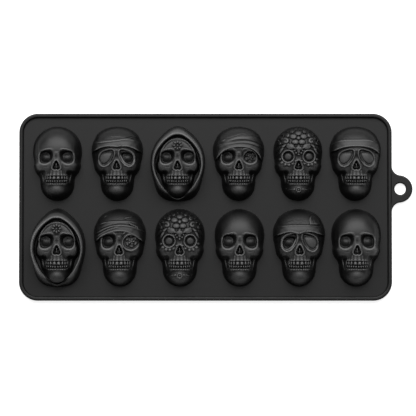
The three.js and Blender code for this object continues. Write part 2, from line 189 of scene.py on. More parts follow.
def mound(x, y, middle_x, middle_y, radius_x, radius_y, turn=0.0, power=2):
    # A swelling: 1 in its middle and nothing beyond its radii, flatter on top for a low power
    dx, dy = x - middle_x, y - middle_y
    c, s = math.cos(turn), math.sin(turn)
    r2 = ((c * dx + s * dy) / radius_x) ** 2 + ((c * dy - s * dx) / radius_y) ** 2
    return np.clip(1 - r2, 0, 1) ** power


def curve_through(points):
    # A smooth curve of height over place, through the points in order, bending evenly at each
    places, heights = np.array(points, dtype=float).T
    steps = np.diff(places)
    rises = np.diff(heights) / steps
    table = np.eye(len(places))
    bends = np.zeros(len(places))
    for i in range(1, len(places) - 1):
        table[i, i - 1:i + 2] = steps[i - 1], 2 * (steps[i - 1] + steps[i]), steps[i]
        bends[i] = 6 * (rises[i] - rises[i - 1])
    bends = np.linalg.solve(table, bends)

    def value(at):
        at = np.clip(at, places[0], places[-1])
        k = np.clip(np.searchsorted(places, at) - 1, 0, len(places) - 2)
        step = steps[k]
        after, before = (at - places[k]) / step, (places[k + 1] - at) / step
        straight = before * heights[k] + after * heights[k + 1]
        bend = (before ** 3 - before) * bends[k] + (after ** 3 - after) * bends[k + 1]
        return straight + bend * step ** 2 / 6
    return value


LOOP_POINTS = 640
STEPS_BETWEEN_POINTS = 24


def smooth_loop(points):
    # A closed curve through the points, cut into even lengths
    points = np.array(points)
    dense = []
    for i in range(len(points)):
        p0, p1, p2, p3 = (points[(i + k) % len(points)] for k in (-1, 0, 1, 2))
        for t in np.linspace(0, 1, STEPS_BETWEEN_POINTS, endpoint=False):
            bend = (2 * p0 - 5 * p1 + 4 * p2 - p3) * t ** 2 + (3 * p1 - p0 - 3 * p2 + p3) * t ** 3
            dense.append((2 * p1 + (p2 - p0) * t + bend) / 2)
    dense = np.array(dense + dense[:1])
    along = np.r_[0, np.cumsum(np.hypot(*np.diff(dense, axis=0).T))]
    wanted = np.linspace(0, along[-1], LOOP_POINTS, endpoint=False)
    return np.column_stack([np.interp(wanted, along, dense[:, k]) for k in (0, 1)])


def both_sides(half, half_width=1.0, half_height=1.0):
    # The whole loop of a shape, from one half of it that is drawn from the top down
    left = [(-w * half_width, h * half_height) for w, h in half]
    right = [(w * half_width, h * half_height) for w, h in half[-2:0:-1]]
    return smooth_loop(left + right)


def inset_loop(loop, distance):
    along = np.roll(loop, -1, axis=0) - np.roll(loop, 1, axis=0)
    along = along / np.hypot(along[:, 0], along[:, 1])[:, None]
    return loop + distance * np.column_stack([-along[:, 1], along[:, 0]])


def reach_of(loop):
    # How far the loop is from its middle in each direction
    angles = np.arctan2(loop[:, 1], loop[:, 0])
    order = np.argsort(angles)
    angles, reach = angles[order], np.hypot(loop[:, 0], loop[:, 1])[order]
    around = np.r_[angles - 2 * np.pi, angles, angles + 2 * np.pi]
    reaches = np.r_[reach, reach, reach]
    return lambda x, y: np.interp(np.arctan2(y, x), around, reaches)


def share_within(loop, middle, mirrored=False):
    # How far a place lies out from the middle, as a share of the way to the loop.
    # A mirrored loop is on the right of the face, and counts on the left as well.
    reach = reach_of(loop - middle)

    def share(x, y):
        dx, dy = (np.abs(x) if mirrored else x) - middle[0], y - middle[1]
        return np.hypot(dx, dy) / reach(dx, dy)
    return share


def edge_distance(share_of, x, y):
    # About how many millimetres a place lies outside the edge, on which the share is 1
    step = 0.05
    least_slope = 0.05
    across = (share_of(x + step, y) - share_of(x - step, y)) / (2 * step)
    along = (share_of(x, y + step) - share_of(x, y - step)) / (2 * step)
    return (share_of(x, y) - 1) / np.maximum(np.hypot(across, along), least_slope)


# How far the face stands out along its middle, from the chin up to the crown
face_profile = curve_through([
    (-21.6, 8.9), (-19.8, 11.0), (-18.0, 12.3), (-16.7, 12.8), (-15.5, 12.75), (-14.0, 12.1),
    (-12.5, 11.5), (-9.8, 12.2), (-6.5, 11.9), (-3.0, 11.3), (1.0, 11.0), (4.2, 11.1), (7.0, 12.2),
    (9.4, 12.6), (14.5, 12.7), (21.6, 12.7),
])
muzzle_half_width = curve_through([(-13.4, 5.8), (-11.5, 6.3), (-8.5, 6.6), (-5.5, 6.6), (-2.6, 6.6)])


def skull_bones(x, y):
    # The bare bone's height over the sheet. Each form is written as its height and where it lies.
    ax = np.abs(x)
    # the forehead is broad, the muzzle and the chin fall away to the sides
    z = face_profile(y) - (0.006 + 0.036 * ramp(-y, 3.5, 7.0) + 0.035 * ramp(-y, 11.0, 15.0)) * x ** 2
    # temples, behind an edge that runs up from the end of each brow
    z = z - 1.1 * ramp(ax, 9.9, 11.6) * ramp(y, 0.5, 3.5) * fall(y, 8.0, 15.0)
    # the face lies back beside the nose
    z = z + 0.9 * ramp(ax, 1.5, 5.5) * ramp(y, -4.5, 0.5) * fall(y, 4, 7)
    # the bridge of the nose widens downwards, and its root is set back under the brow
    half = 1.2 + 0.1 * np.clip(6.5 - y, 0, 8) ** 1.3
    z = z + 0.9 * fall(ax, half - 0.7, half + 1.1) * ramp(y, -2.5, 0.5) * fall(y, 4.6, 7.4)
    z = z - 0.2 * mound(x, y, 0, 4.4, 2.2, 2.4) + 0.15 * mound(x, y, 0, 6.1, 1.1, 0.9)
    # cheekbones, and the small crease under each eye
    z = z + 1.4 * mound(ax, y, 8.2, -2.0, 6.2, 4.2, 0.1, 1.6)
    crease = np.hypot((ax - 5.9) / 1.5, (y + 0.9) / 1.1) - 1
    z = z - 0.2 * line(crease, 0.3) * fall(y, -1.9, -1.3)
    # a hollow on each side of the muzzle, under the cheekbone
    cheek_edge = -4.4 - 0.03 * (ax - 8.5) ** 2
    below = fall(y, cheek_edge - 2.6, cheek_edge + 1.2)
    muzzle = muzzle_half_width(y)
    beside = ramp(ax, muzzle - 1.4, muzzle + 1.2)
    z = z - 1.1 * below * beside * ramp(y, -15.5, -11.5)
    z = z - 0.9 * mound(ax, y, 7.4, -5.3, 2.4, 2.2)
    # the back edge of the lower jaw
    jaw_edge = 8.45 + 0.22 * (y + 6.8)
    return z + 1.2 * line(ax - jaw_edge, 0.42) * ramp(-y, 4.8, 6.4) * fall(-y, 10.6, 12.6)


# The line of the brow's crest, from the nose outwards
brow_crest = curve_through([
    (0.6, 6.9), (1.6, 7.6), (2.7, 8.25), (3.8, 8.5), (5.2, 8.35), (6.6, 7.85), (8.0, 7.05),
    (9.2, 5.8), (10.3, 3.9),
])


def brows(x, y):
    # Each brow is crisp along its top and falls softly to the socket under it
    ax = np.abs(x)
    slope = (brow_crest(ax + 0.1) - brow_crest(ax - 0.1)) / 0.2
    over = (y - brow_crest(ax)) / np.hypot(1, slope)
    crest = line(over, np.where(over > 0, 0.36, 0.9))
    return mix(0.75, 0.3, ramp(ax, 5, 8.0)) * crest * ramp(ax, 1.0, 2.9) * fall(ax, 9.6, 10.6)


SOCKET_FLOOR = 8.3
SOCKET_SWELL = 0.9
SOCKET_MIDDLE = (6.2, 3.5)
# A socket's edge, anticlockwise from its top inner corner: a rounded rectangle, cut off towards
# the nose
SOCKET = [
    (3.4, 7.2), (2.4, 6.5), (2.1, 5.0), (2.5, 2.9), (3.7, 1.1), (5.5, 0.1), (7.4, -0.1), (8.9, 0.6),
    (9.6, 2.1), (9.7, 4.2), (9.1, 6.2), (7.7, 7.2), (5.8, 7.45), (4.4, 7.4),
]
socket_share = share_within(smooth_loop(SOCKET), SOCKET_MIDDLE, mirrored=True)


def eye_sockets(z, x, y):
    # A steep wall round a swelling floor, and a thin edge outside the socket and under it
    dx, dy = np.abs(x) - SOCKET_MIDDLE[0], y - SOCKET_MIDDLE[1]
    outer = ramp(dx, 2.2, 3.4) * fall(dy, 1.0, 2.4)
    under = ramp(-dy, 1.4, 2.6) * ramp(dx, -2.0, -0.4)
    edge = 0.15 * line(edge_distance(socket_share, x, y) - 0.8, 0.24) * np.maximum(outer, under)
    floor = SOCKET_FLOOR + SOCKET_SWELL * mound(dx, dy, 0.1, -0.2, 3.7, 2.7, power=1.5)
    # the wall is softer beside the nose
    soft = ramp(-dx, 0.6, 2.6)
    wall = ramp(socket_share(x, y), 0.79 - 0.28 * soft, 1.12 + 0.08 * soft)
    return mix(floor, z + brows(x, y) + edge, wall)


NOSE_MIDDLE = (0, -1.2)
# Half the opening of the nose, from its top down: a rounded triangle
NOSE = [
    (0, 1.3), (0.5, 1.0), (0.9, 0.3), (1.3, -0.6), (1.65, -1.5), (1.85, -2.3), (1.7, -3.0), (1.0, -3.4),
    (0.4, -3.3), (0, -3.2),
]
NOSE_DEPTH = 2.8
NOSE_RIM = 0.45
nose_share = share_within(both_sides(NOSE), NOSE_MIDDLE)


def nose_opening(x, y):
    away = edge_distance(nose_share, x, y)
    z = NOSE_RIM * line(away - 0.6, 0.28) - NOSE_DEPTH * fall(away, -0.45, 0.35)
    # inside it stand the thin wall in the middle, and a swelling at the foot of each side
    inside = fall(away, -0.7, -0.1)
    z = z + 2.3 * line(x, 0.42) * fall(y, -0.6, 1.0) * inside
    return z + 1.7 * mound(np.abs(x), y, 0.95, -2.2, 0.7, 1.0, 0, 1) * inside


# Each upper tooth's middle, half width and size, and each lower tooth's middle and half width,
# from the middle of the jaw outwards
UPPER_TEETH = [(1.22, 1.0, 1.0), (3.3, 0.55, 0.85), (4.8, 0.42, 0.45), (5.9, 0.3, 0.3)]
LOWER_TEETH = [(0.8, 0.45), (2.1, 0.34), (3.35, 0.42), (4.6, 0.34), (5.6, 0.3)]
UPPER_GUM, BITE, LOWER_GUM = -7.3, -9.55, -11.15
UPPER_HEIGHT = 1.7
UPPER_ROOT = 3.3
LOWER_HEIGHT = 1.5
LOWER_ROOT_HEIGHT = 0.6
GROOVE_DEPTH = 1.5
# A root is a little narrower than its tooth
ROOT_NARROW = 0.85


def bead(u, v):
    # A rounded block, with u and v from -1 to 1 across it and along it
    return np.clip(1 - u ** 4, 0, 1) ** 0.6 * np.clip(1 - v ** 4, 0, 1) ** 0.8


def tooth_rows(x, y):
    ax = np.abs(x)
    within = fall(ax, 5.4, 6.8)
    # the rows follow the jaw, lower in the middle
    y = y - 0.006 * x ** 2
    # the teeth stand in a groove, so that each stands by itself
    below_upper_gum = ramp(-y, -UPPER_GUM - 0.2, 0.2 - UPPER_GUM)
    below_lower_gum = ramp(-y, -LOWER_GUM - 0.3, 0.9 - LOWER_GUM)
    z = -GROOVE_DEPTH * below_upper_gum * (1 - below_lower_gum) * within
    down = (UPPER_GUM - y) / (UPPER_GUM - BITE)
    swell = 0.2 + 0.3 * fall(y, UPPER_GUM + 0.6, UPPER_GUM + 1.4)
    for middle, half, size in UPPER_TEETH:
        # a tooth is widest and stands out most at its cutting edge
        narrow = half * (0.85 + 0.2 * down)
        tall = (UPPER_HEIGHT + 0.3 * down) * (0.3 + 0.7 * size)
        z = z + tall * bead((ax - middle) / narrow, 2.1 * (down - 0.45))
        root = middle * (1 - 0.05 * (y - UPPER_GUM))
        length = (UPPER_GUM + UPPER_ROOT * (0.7 + 0.3 * size) - y) / UPPER_ROOT
        z = z + swell * size * bead((ax - root) / (half * ROOT_NARROW), 2 * np.clip(length, 0, 1) - 1)
    for middle, half in LOWER_TEETH:
        z = z + LOWER_HEIGHT * bead((ax - middle) / half, (y - (BITE + LOWER_GUM) / 2) / 0.6) * within
        root = bead((ax - 0.98 * middle) / (half * ROOT_NARROW), (y - LOWER_GUM + 0.7) / 0.45)
        z = z + LOWER_ROOT_HEIGHT * root * fall(ax, 3.6, 5.0)
    return z


def bare_skull(x, y):
    return eye_sockets(skull_bones(x, y), x, y) + nose_opening(x, y) + tooth_rows(x, y)


def round_over(share, y):
    # The forehead rounds over far in, the cheeks and the jaw only near the edge
    power = 4.8 - 2.3 * ramp(y, -2, 9)
    return np.sqrt(np.clip(1 - share ** power, 0, 1))


def rounded_face(face):
    def height(x, y, share):
        return round_over(share, y) * face(x, y)
    return height


# Half outlines from the crown to the chin, as shares of the half width and half height
CROWN_HEIGHT = 0.655
CROWN_ARC = [
    (math.sin(t), 1 - CROWN_HEIGHT + CROWN_HEIGHT * math.cos(t)) for t in np.linspace(0, math.pi / 2, 6)
]
BARE_OUTLINE = CROWN_ARC + [
    (0.993, 0.22), (0.965, 0.11), (0.95, 0.02), (0.965, -0.07), (0.93, -0.157), (0.865, -0.25),
    (0.76, -0.34), (0.71, -0.425), (0.695, -0.545), (0.67, -0.667), (0.59, -0.787), (0.43, -0.903),
    (0.22, -0.978), (0, -1),
]


# The square grid on which a cavity is worked out
OFFSET_STEP = 0.3


def height_field(outside, loop):
    # The heights on a square grid over the cup, and the grid's corner
    span = np.abs(loop).max(axis=0) + WALL
    xs, ys = (np.arange(-s, s + OFFSET_STEP, OFFSET_STEP) for s in span)
    return outside(*np.meshgrid(xs, ys)), -span


def read_field(field, corner, x, y):
    # The field's height at any place, between the four grid points round it
    i = np.clip((x - corner[0]) / OFFSET_STEP, 0, field.shape[1] - 1.001)
    j = np.clip((y - corner[1]) / OFFSET_STEP, 0, field.shape[0] - 1.001)
    i0, j0 = i.astype(int), j.astype(int)
    low = mix(field[j0, i0], field[j0, i0 + 1], i - i0)
    high = mix(field[j0 + 1, i0], field[j0 + 1, i0 + 1], i - i0)
    return mix(low, high, j - j0)


def softened(field, width):
    # The field averaged over about this width, nearer places counting for more
    reach = math.ceil(3 * width / OFFSET_STEP)
    weights = np.exp(-0.5 * (np.arange(-reach, reach + 1) * OFFSET_STEP / width) ** 2)
    for axis in (0, 1):
        field = np.apply_along_axis(np.convolve, axis, field, weights / weights.sum(), "same")
    return field


def cavity_field(field):
    # Every point of the cavity is one wall away from the outside, as a ball rolled under it would lie
    lowest = np.full_like(field, np.inf)
    reach = int(WALL / OFFSET_STEP)
    for i in range(-reach, reach + 1):
        for j in range(-reach, reach + 1):
            drop = WALL ** 2 - (i * OFFSET_STEP) ** 2 - (j * OFFSET_STEP) ** 2
            if drop >= 0:
                lowest = np.minimum(lowest, np.roll(field, (i, j), axis=(0, 1)) - math.sqrt(drop))
    return np.maximum(lowest, 0)


FACE_COLUMNS = 152
FACE_ROWS = 216
# How much closer together the columns and rows lie towards the edge, where the walls are steep
GRID_CROWDING = 0.6


def fitted_grid(loop, half, columns, rows):
    # Rows and columns of places over a head, drawn out towards the edge so that the border lies on
    # the loop, and the border's order round it
    u, v = np.meshgrid(np.linspace(-1, 1, columns + 1), np.linspace(-1, 1, rows + 1))
    u, v = (mix(a, np.sin(a * np.pi / 2), GRID_CROWDING) for a in (u, v))
    disc_x, disc_y = u * np.sqrt(1 - v ** 2 / 2), v * np.sqrt(1 - u ** 2 / 2)
    share = np.hypot(disc_x, disc_y)
    x, y = disc_x * half[0], disc_y * half[1]
    stretch = reach_of(loop)(x, y) * share / np.maximum(np.hypot(x, y), 1e-6)
    fitted = 1 + (stretch - 1) * share ** 2
    number = np.arange((columns + 1) * (rows + 1)).reshape(rows + 1, columns + 1)
    border = np.r_[number[0, :-1], number[:-1, -1], number[-1, :0:-1], number[:0:-1, 0]]
    quads = np.stack([number[:-1, :-1], number[:-1, 1:], number[1:, 1:], number[1:, :-1]], -1)
    return np.column_stack([(x * fitted).ravel(), (y * fitted).ravel()]), border, quads.reshape(-1, 4)


def quarter_turn(steps):
    # How far a quarter circle has come from its start, and how far it still is from its end
    return [(1 - math.cos(t), 1 - math.sin(t)) for t in np.linspace(0, math.pi / 2, steps + 1)]


def ring_quads(inner, outer):
    return np.column_stack([inner, outer, np.roll(outer, -1), np.roll(inner, -1)])


def raised(flat, height):
    # Flat places lifted to their own heights, or all to one
    return np.column_stack([flat, np.broadcast_to(height, len(flat))])


def skin_mesh(name, points, faces):
    mesh = bpy.data.meshes.new(name)
    mesh.from_pydata((np.vstack(points) * MM).tolist(), [], [f for part in faces for f in part.tolist()])
    mesh.polygons.foreach_set("use_smooth", [True] * len(mesh.polygons))
    mesh.update()
    return mesh


def stand_for(node, mesh, material=silicone):
    # The mesh becomes the piece that is seen in place of the model's node
    piece = new_object(mesh.name, mesh)
    mesh.materials.append(material)
    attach(piece, "root")
    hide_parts(node)


# The painted light compares each point with the height round it, close by and more widely, in mm.
# Each counts by its weight, the wider one within limits: hollows get painted shade, raised points a painted
# highlight. Points low over the sheet get painted shade, and raised points lose their highlight near the
# outline.
PAINTED_LIGHT_WIDTHS = (0.6, 2.0)
PAINTED_LIGHT_WEIGHTS = (0.8, 0.2)
PAINTED_LIGHT_LIMITS = (-2, 0.6)
PAINTED_LIGHT_HEIGHTS = (4.0, 11.5)
PAINTED_LIGHT_EDGE = (0.88, 0.97)


# Painted shade in hollows, low over the sheet and near the outline, and a painted highlight on raised
# points
def painted_light_tone(field, corner, flat, tall, share):
    near, wide = (tall - read_field(softened(field, width), corner, *flat.T) for width in PAINTED_LIGHT_WIDTHS)
    above = PAINTED_LIGHT_WEIGHTS[0] * near + PAINTED_LIGHT_WEIGHTS[1] * np.clip(wide, *PAINTED_LIGHT_LIMITS)
    inner = fall(share, *PAINTED_LIGHT_EDGE)
    return (0.5 + np.minimum(above, above * inner)) * ramp(tall, *PAINTED_LIGHT_HEIGHTS)


def lip_faces(rim, lip):
    # The flat lip under the wall joins the rim's points to the mouth's, of which there are half as many
    between, after = rim[1::2], np.roll(lip, -1)
    return [np.column_stack([rim[::2], lip, between]), np.column_stack([between, lip, after]),
            np.column_stack([between, after, np.roll(rim[::2], -1)])]


FILLET_STEPS = 5
# A point with a share just over 1 is still on the wall, not beyond it
WALL_SHARE = 1.0001
# The loops of the cavities' mouths, for the sheet that they open through
mouths = []


def press_cup(node, outline, height):
    # Presses one cup to fit the model's node, as high as its drawing says at each place
    low, high = node_box(node)
    middle = (low + high) / 2
    loop = both_sides(outline, *(high - low)[:2] / 2)
    wall = inset_loop(loop, FOOT_FILLET)
    wall_reach = reach_of(wall)
    plain = node_box("cup_plain_1" if middle[1] > 0 else "cup_plain_2")
    half = (plain[1] - plain[0])[:2] / 2
    stretch = 2 * half / (DRAWN_WIDTH, DRAWN_HEIGHT)

    def outside(x, y):
        share = np.hypot(x, y) / wall_reach(x, y)
        tall = height(x / stretch[0], y / stretch[1] + FACE_DROP, np.clip(share, 0, 1))
        return np.where(share < WALL_SHARE, np.maximum(tall, FOOT_FILLET), 0)

    field, corner = height_field(outside, loop)
    flat, border, quads = fitted_grid(wall, half, FACE_COLUMNS, FACE_ROWS)
    tall = outside(*flat.T)
    points, faces = [raised(flat, tall)], [quads]
    rim, edge = border, flat[border]
    count = len(flat)
    # a small fillet runs the wall out on to the sheet
    for come, left in quarter_turn(FILLET_STEPS):
        points.append(raised(inset_loop(edge, -FOOT_FILLET * come), FOOT_FILLET * left))
        ring = count + np.arange(len(edge))
        faces.append(ring_quads(rim, ring))
        rim, count = ring, count + len(edge)
    # the cavity is smoother than the face, so its grid is half as fine
    cavity_loop = inset_loop(loop, WALL)
    inner, mouth, quads = fitted_grid(cavity_loop, half - WALL, FACE_COLUMNS // 2, FACE_ROWS // 2)
    ceiling = read_field(cavity_field(field), corner, *inner.T)
    ceiling[mouth] = 0
    points.append(raised(inner, ceiling))
    faces.append(quads[:, ::-1] + count)
    faces += lip_faces(rim, count + mouth)
    mouths.append(inner[mouth] + middle[:2])
    offset = np.array([middle[0], middle[1], SHEET_TOP])
    mesh = skin_mesh(node + "_skin", [np.vstack(points) + offset], faces)
    # The face's points carry the painted shade and highlight; the fillet and cavity keep 0.5, the rubber's
    # own colour
    painted_light = np.full(len(mesh.vertices), 0.5)
    share = np.hypot(*flat.T) / wall_reach(*flat.T)
    painted_light[:len(flat)] = painted_light_tone(field, corner, flat, tall, share)
    mesh.attributes.new("raised", "FLOAT", "POINT").data.foreach_set("value", painted_light)
    stand_for(node, mesh, painted_light_silicone)


for node in ("cup_plain_1", "cup_plain_2", "cup_plain_3"):
    press_cup(node, BARE_OUTLINE, rounded_face(bare_skull))


# The goggle cups
# Skulls in aviator goggles, under a head band or a cap with a wide band, all in the same rubber.
# The rims are raised beads. A lens is either filled nearly flush or left as a deep socket.
WRAPPED_OUTLINE = [
    (0, 1), (0.3, 0.975), (0.58, 0.9), (0.79, 0.78), (0.885, 0.66), (0.955, 0.56), (1.0, 0.42),
    (0.995, 0.24), (0.96, 0.11), (0.925, 0.0), (0.905, -0.08), (0.87, -0.163), (0.79, -0.25),
    (0.695, -0.34), (0.665, -0.43), (0.65, -0.55), (0.625, -0.667), (0.55, -0.787), (0.39, -0.905),
    (0.2, -0.978), (0, -1),
]
# The line of a goggle's tube, anticlockwise from the top. It runs in close beside the nose.
GOGGLE = [
    (5.0, 8.0), (3.4, 8.2), (2.0, 7.9), (1.2, 6.5), (1.4, 4.3), (2.3, 2.1), (3.6, 0.2), (5.4, -1.5),
    (7.5, -2.05), (9.35, -1.0), (10.4, 1.2), (10.4, 3.6), (9.6, 5.5), (7.9, 7.0),
]
# The lens inside it, a rounded triangle
LENS = [
    (4.6, 6.4), (3.2, 6.2), (2.5, 5.3), (3.0, 3.6), (4.1, 1.7), (5.5, 0.3), (7.1, -0.35), (8.6, 0.1),
    (9.5, 1.6), (9.6, 3.4), (8.9, 5.1), (7.5, 6.1), (6.0, 6.4),
]
GOGGLE_MIDDLE = (6.0, 3.2)
LENS_LEVEL = 12.0
LENS_GROOVE = 0.45
TUBE_HEIGHT = 0.65
goggle_share = share_within(smooth_loop(GOGGLE), GOGGLE_MIDDLE, mirrored=True)
lens_share = share_within(smooth_loop(LENS), GOGGLE_MIDDLE, mirrored=True)


def goggle(z, x, y, filled):
    # A round tube and a gently domed border, with the lens nearly flush in it or a deep bowl
    away = edge_distance(goggle_share, x, y)
    within = edge_distance(lens_share, x, y)
    border = LENS_LEVEL - 0.014 * ((np.abs(x) - 5.8) ** 2 + (y - 3.6) ** 2) - 0.07 * (y - 3.6)
    if filled:
        border = border - LENS_GROOVE * line(within, 0.28) + 0.15 * fall(within, -1.5, -0.2)
    else:
        floor = SOCKET_FLOOR + SOCKET_SWELL * mound(np.abs(x), y, 6.3, 3.1, 3.6, 2.7, power=1.5)
        border = mix(floor, border - 0.4 * line(within, 0.9), ramp(lens_share(x, y), 0.76, 1.1))
    return mix(border, z, ramp(away, -1.0, -0.5)) + TUBE_HEIGHT * line(away, 0.38)


def goggle_face(left_filled, right_filled):
    def face(x, y):
        z = skull_bones(x, y)
        z = np.where(x < 0, goggle(z, x, y, left_filled), goggle(z, x, y, right_filled))
        # the tubes meet on the bridge of the nose
        z = z + 0.5 * mound(x, y, 0, 7.4, 2.0, 1.3)
        return z + nose_opening(x, y) + tooth_rows(x, y)
    return face


# The height of the head under the cloth
CLOTH_LEVEL = 12.5
# Cloth, hoods and flowers are drawn from a place this far below the face's
CLOTH_DROP = 0.45


def covered(face, lower_edge, upper_edge, folds, thick=1.2, cap=0.3):
    # Cloth over the forehead: a swelling band between two edges, and the cap above it
    lower, upper = curve_through(lower_edge), curve_through(upper_edge)

    def height(x, y, share):
        low, high = lower(x) - CLOTH_DROP, upper(x) - CLOTH_DROP
        cover = ramp(y - low, -0.2, 0.3)
        above = ramp(y - high, -0.25, 0.35)
        middle = np.clip((y - low) / np.maximum(high - low, 0.1), 0, 1)
        band = thick + 0.3 * np.sin(np.pi * middle)
        band = band + 0.3 * line(y - high + 0.45, 0.3) + 0.25 * line(y - low - 0.5, 0.3)
        cloth = CLOTH_LEVEL + mix(band, cap, above) + folds(x, y + CLOTH_DROP)
        return round_over(share, y) * mix(face(x, y), cloth, cover)
    return height


def knotted_folds(x, y):
    # One turn of the cloth runs up to the right over the cap, and a knot lies at the lower middle
    turn = 13.9 + 0.1 * x + 0.014 * np.clip(x, 0, None) ** 2
    z = 0.55 * line(y - turn + 0.5, 0.45) - 0.6 * line(y - turn - 0.15, 0.28)
    z = z + 0.35 * line(y - 13.0 - 0.06 * x, 0.3) * ramp(-x, 2, 5) * fall(-x, 9, 12)
    z = z + 0.3 * line(y - 16.1 - 0.05 * x, 0.3) * fall(np.abs(x + 0.5), 2, 4)
    z = z + 0.3 * line(y - 15.3 - 0.05 * x, 0.25) * fall(np.abs(x + 0.2), 2, 4)
    return z + 0.6 * line(y - 10.1 - 0.45 * (x - 1.2), 0.35) * fall(np.abs(x - 1.2), 1.0, 2.4)


def no_folds(x, y):
    return 0 * x


def flap_and_knot(x, y):
    # Two folds on the cap, a knot low on the band, and a loose end that stands up on the right
    z = 0.35 * line(y - 14.6, 0.3) * fall(np.abs(x + 2.5), 3, 6)
    z = z + 0.3 * line(y - 15.5, 0.25) * fall(np.abs(x + 1.5), 2, 4)
    z = z + 0.6 * line(y - 9.2 - 0.4 * (x - 1.4), 0.35) * fall(np.abs(x - 1.4), 1.2, 2.6)
    share = np.hypot((x - 8.6 + 0.3 * (y - 14)) / 3.2, (y - 12.6) / 6.2)
    flap = 1.5 * fall(share, 0.9, 1.0) + 0.5 * line(share - 0.88, 0.07)
    split = 0.3 * line(x - 8.2 + 0.25 * (y - 14), 0.3) * (share < 0.8)
    return z + (flap - split) * ramp(y, 13.1, 13.6)


press_cup("cup_goggles_1", WRAPPED_OUTLINE, covered(
    goggle_face(True, False),
    [(-14.5, 6.6), (-10.6, 8.6), (-5.5, 9.8), (0, 9.6), (5.5, 9.8), (10.6, 8.4), (14.5, 6.2)],
    [(-14.5, 12.8), (-8, 13.6), (0, 14.4), (6, 14.6), (10, 13.9), (14.5, 12.0)],
    knotted_folds))
press_cup("cup_goggles_2", WRAPPED_OUTLINE, covered(
    goggle_face(True, True),
    [(-14.5, 6.7), (-9.6, 8.6), (-5.2, 9.6), (0, 9.9), (5.2, 9.6), (10, 8.3), (14.5, 5.2)],
    [(-14.5, 11.2), (-11, 13.0), (0, 14.1), (11, 12.8), (14.5, 10.6)],
    no_folds))
press_cup("cup_goggles_3", WRAPPED_OUTLINE, covered(
    goggle_face(False, True),
    [(-14.5, 6.6), (-9, 8.4), (-4, 8.8), (0, 8.0), (3, 8.8), (9, 8.6), (14.5, 6.8)],
    [(-14.5, 12.0), (-8, 13.0), (0, 13.3), (8, 13.1), (14.5, 12.2)],
    flap_and_knot, thick=0.8))


# The wrapped cups
# Skulls in a wound head cloth that comes low over the forehead, with a carved cover on one eye.
# The folds run round the head and draw together at the side where the cloth is tied. It is all
# pressed in the same rubber.
def carved_leaves(x, y, middle_x, middle_y):
    # A button with five petals round it, and six leaves round those
    angle = np.arctan2(y - middle_y, x - middle_x)
    radius = np.hypot(x - middle_x, y - middle_y)
    petals = np.cos(2.5 * angle) ** 2 * ramp(radius, 0.4, 1.0) * fall(radius, 1.5, 2.1)
    leaves = np.cos(3 * angle + 1.3) ** 2 * ramp(radius, 2.0, 2.4) * fall(radius, 2.9, 3.4)
    return 0.9 * petals + 0.8 * leaves + 0.7 * mound(x, y, middle_x, middle_y, 0.7, 0.7, power=0.6)


SOCKET_COVER_LEVEL = 9.6
PATCH_LEVEL = 11.4


def carved_socket(z, x, y):
    # The cover lies sunk in the eye socket, which keeps its lower edge
    share = np.hypot((x - 6.5) / 3.6, (y - 3.5) / 3.4)
    z = mix(z, SOCKET_COVER_LEVEL, fall(share, 0.85, 1.08))
    z = z + 0.8 * carved_leaves(x, y, 6.7, 3.6) * (share < 1)
    return z + 0.4 * line(share - 1.24, 0.1) * fall(y, 2.0, 5.0)


def carved_patch(z, x, y):
    # The cover is a patch nearly flush with the bone, inside a raised ring
    share = np.hypot((x - 6.6) / 4.5, (y - 3.0) / 4.3)
    z = mix(z, PATCH_LEVEL, fall(share, 0.75, 0.9))
    return z + carved_leaves(x, y, 6.9, 3.6) * (share < 0.9) + line(share - 1.02, 0.13)


def one_eyed_face(cover):
    def face(x, y):
        z = skull_bones(x, y)
        z = np.where(x < 0, eye_sockets(z, x, y), cover(z + brows(x, y), x, y))
        return z + nose_opening(x, y) + tooth_rows(x, y)
    return face


# Each crease's highest point, how it bends down to the left and to the right of it, and its depth
SWEPT_CREASES = [
    (2.0, 11.8, 0.02, 0.026, 0.3), (3.0, 13.8, 0.012, 0.03, 0.65), (6.0, 16.6, 0.011, 0.05, 0.6),
    (7.5, 17.9, 0.02, 0.06, 0.4),
]


def swept_folds(x, y):
    # Soft turns of cloth, each under a narrow crease that fades to the left and is deepest on the right
    z = 0 * x
    for peak_x, peak_y, left, right, depth in SWEPT_CREASES:
        across = x - peak_x
        crease = y - peak_y + np.where(across < 0, left, right) * across ** 2
        fade = depth * mix(0.2, 1.0, ramp(x, -8, 4))
        turn = 0.6 * depth * line(crease + 1.2, 1.0) * mix(0.5, 1, ramp(x, -10, 0))
        z = z - fade * line(crease, 0.34) + turn
    # three short tucks on the left
    z = z + 0.5 * line(y - 13.6 - 0.55 * (x + 9), 0.35) * mound(x, y, -9.3, 13.6, 2.6, 2.0)
    z = z + 0.4 * line(y - 18.0 - 0.5 * (x + 7), 0.3) * mound(x, y, -7, 18, 2.4, 1.8)
    return z + 0.4 * line(y - 11.0 - 0.5 * (x + 11), 0.3) * mound(x, y, -11, 11, 1.8, 1.6)


STITCHES = 5


def stitched_folds(x, y):
    # Two turns of cloth, with two rows of stitches on the right, and two tucks and a dent on the left
    crease = y - 13.6 - 0.05 * x + 0.022 * x ** 2
    z = 0.5 * line(crease + 0.7, 0.5) - 0.6 * line(crease, 0.3)
    fan = y - 11.9 - 0.12 * x + 0.022 * x ** 2
    z = z + 0.45 * line(fan, 0.4) * ramp(-x, -1, 5) - 0.4 * line(fan - 0.8, 0.3) * ramp(-x, -1, 5)
    for k in range(STITCHES):
        z = z + 1.6 * mound(x, y, 3.4 + 0.95 * k, 16.9 + 0.22 * k, 0.36, 1.0, -0.7, 1)
        z = z + 1.6 * mound(x, y, 6.0 + 1.05 * k, 13.9 - 0.5 * k, 0.36, 1.0, 0.7, 1)
    z = z + 0.9 * mound(x, y, -8.6, 17.9, 2.0, 0.4, 0.55, 1)
    z = z + 0.9 * mound(x, y, -9.6, 13.9, 2.2, 0.4, 0.4, 1)
    return z - 0.6 * mound(x, y, -10.5, 10.9, 0.7, 0.4, 0.3, 1)


# The upper edge of a cloth that covers the whole head
ABOVE_THE_CROWN = [(-15, 99), (15, 99)]

